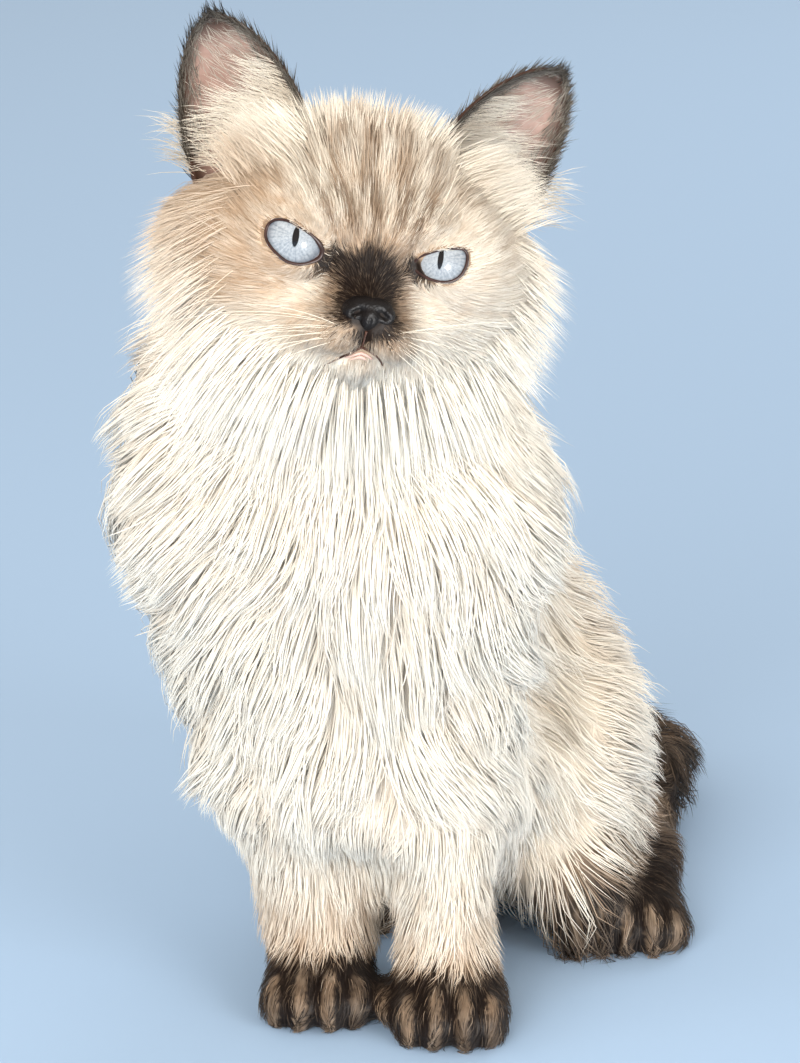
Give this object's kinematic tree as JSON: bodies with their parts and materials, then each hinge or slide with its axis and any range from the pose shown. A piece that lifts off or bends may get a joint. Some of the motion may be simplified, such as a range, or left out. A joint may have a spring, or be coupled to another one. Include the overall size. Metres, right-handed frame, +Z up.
{
  "type": "seated persian cat figure",
  "caption": "Life-size seated long-haired colourpoint cat, still, as a museum model, with turned and tilted head.",
  "frame": {"origin": "on the floor, under the middle of the whole cat", "axes": "+Z up, -Y the way the chest faces, +X towards the cat's left side"},
  "size_m": [0.1992, 0.3244, 0.346],
  "materials": {
    "coat_cream": "long soft cream fur",
    "coat_warm": "long soft fawn-shaded fur",
    "coat_seal": "dark seal-brown fur",
    "eye": "wet, clear, pale ice blue with a dark slit pupil",
    "nose": "moist black nose leather"
  },
  "bodies": {
    "root": {"chest": "coat_cream", "foreleg_left": "coat_cream", "foreleg_right": "coat_cream", "head": "coat_cream", "neck": "coat_cream", "rump": "coat_warm", "thigh_left": "coat_warm", "thigh_right": "coat_warm", "trunk": "coat_warm", "ear_left": "coat_seal", "ear_right": "coat_seal", "fore_paw_left": "coat_seal", "fore_paw_right": "coat_seal", "hind_paw_left": "coat_seal", "hind_paw_right": "coat_seal", "tail_middle": "coat_seal", "tail_root": "coat_seal", "tail_tip": "coat_seal", "eye_left": "eye", "eye_right": "eye", "nose": "nose"}
  },
  "joints": []
}
